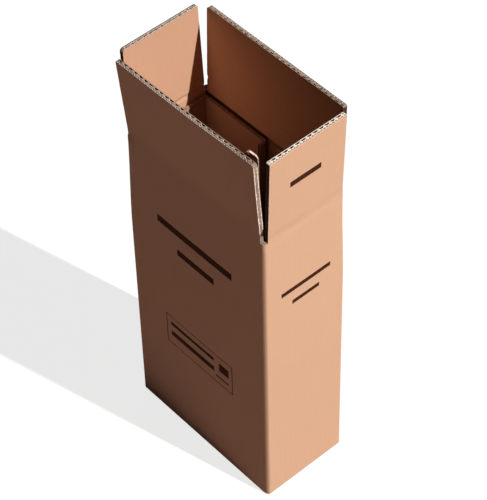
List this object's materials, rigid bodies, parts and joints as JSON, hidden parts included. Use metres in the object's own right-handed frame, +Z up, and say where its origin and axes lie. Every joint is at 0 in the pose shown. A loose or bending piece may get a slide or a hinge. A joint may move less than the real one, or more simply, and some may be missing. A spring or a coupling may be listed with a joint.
{
  "type": "wine shipping box",
  "caption": "Tall open carton of double-wall corrugated board with hinged full-overlap top flaps and a folded insert that parts the wine bottles.",
  "frame": {"origin": "centre of the base, on the surface that the box stands on", "axes": "+X along the long side, +Y along the short side towards the back flap, +Z up"},
  "size_m": [0.2156, 0.1212, 0.5147],
  "materials": {
    "outer_board": "matt brown kraft liner",
    "insert_board": "matt brown kraft liner"
  },
  "bodies": {
    "carton": {"carton_body": "outer_board", "bottle_insert": "insert_board"},
    "front_flap": {"front_flap": "outer_board"},
    "back_flap": {"back_flap": "outer_board"},
    "left_flap": {"left_flap": "outer_board"},
    "right_flap": {"right_flap": "outer_board"}
  },
  "joints": [
    {"name": "right_crease", "type": "hinge", "parent": "carton", "child": "right_flap", "pos_m": [0.103, 0, 0.4053], "axis": [0, 1, 0], "range_deg": [-92.2, 165]},
    {"name": "left_crease", "type": "hinge", "parent": "carton", "child": "left_flap", "pos_m": [-0.103, 0, 0.4106], "axis": [0, -1, 0], "range_deg": [-93, 165]},
    {"name": "front_crease", "type": "hinge", "parent": "carton", "child": "front_flap", "pos_m": [0, -0.0546, 0.4159], "axis": [1, 0, 0], "range_deg": [-95, 165]},
    {"name": "back_crease", "type": "hinge", "parent": "carton", "child": "back_flap", "pos_m": [0, 0.0546, 0.4212], "axis": [-1, 0, 0], "range_deg": [-92.1, 165]}
  ]
}
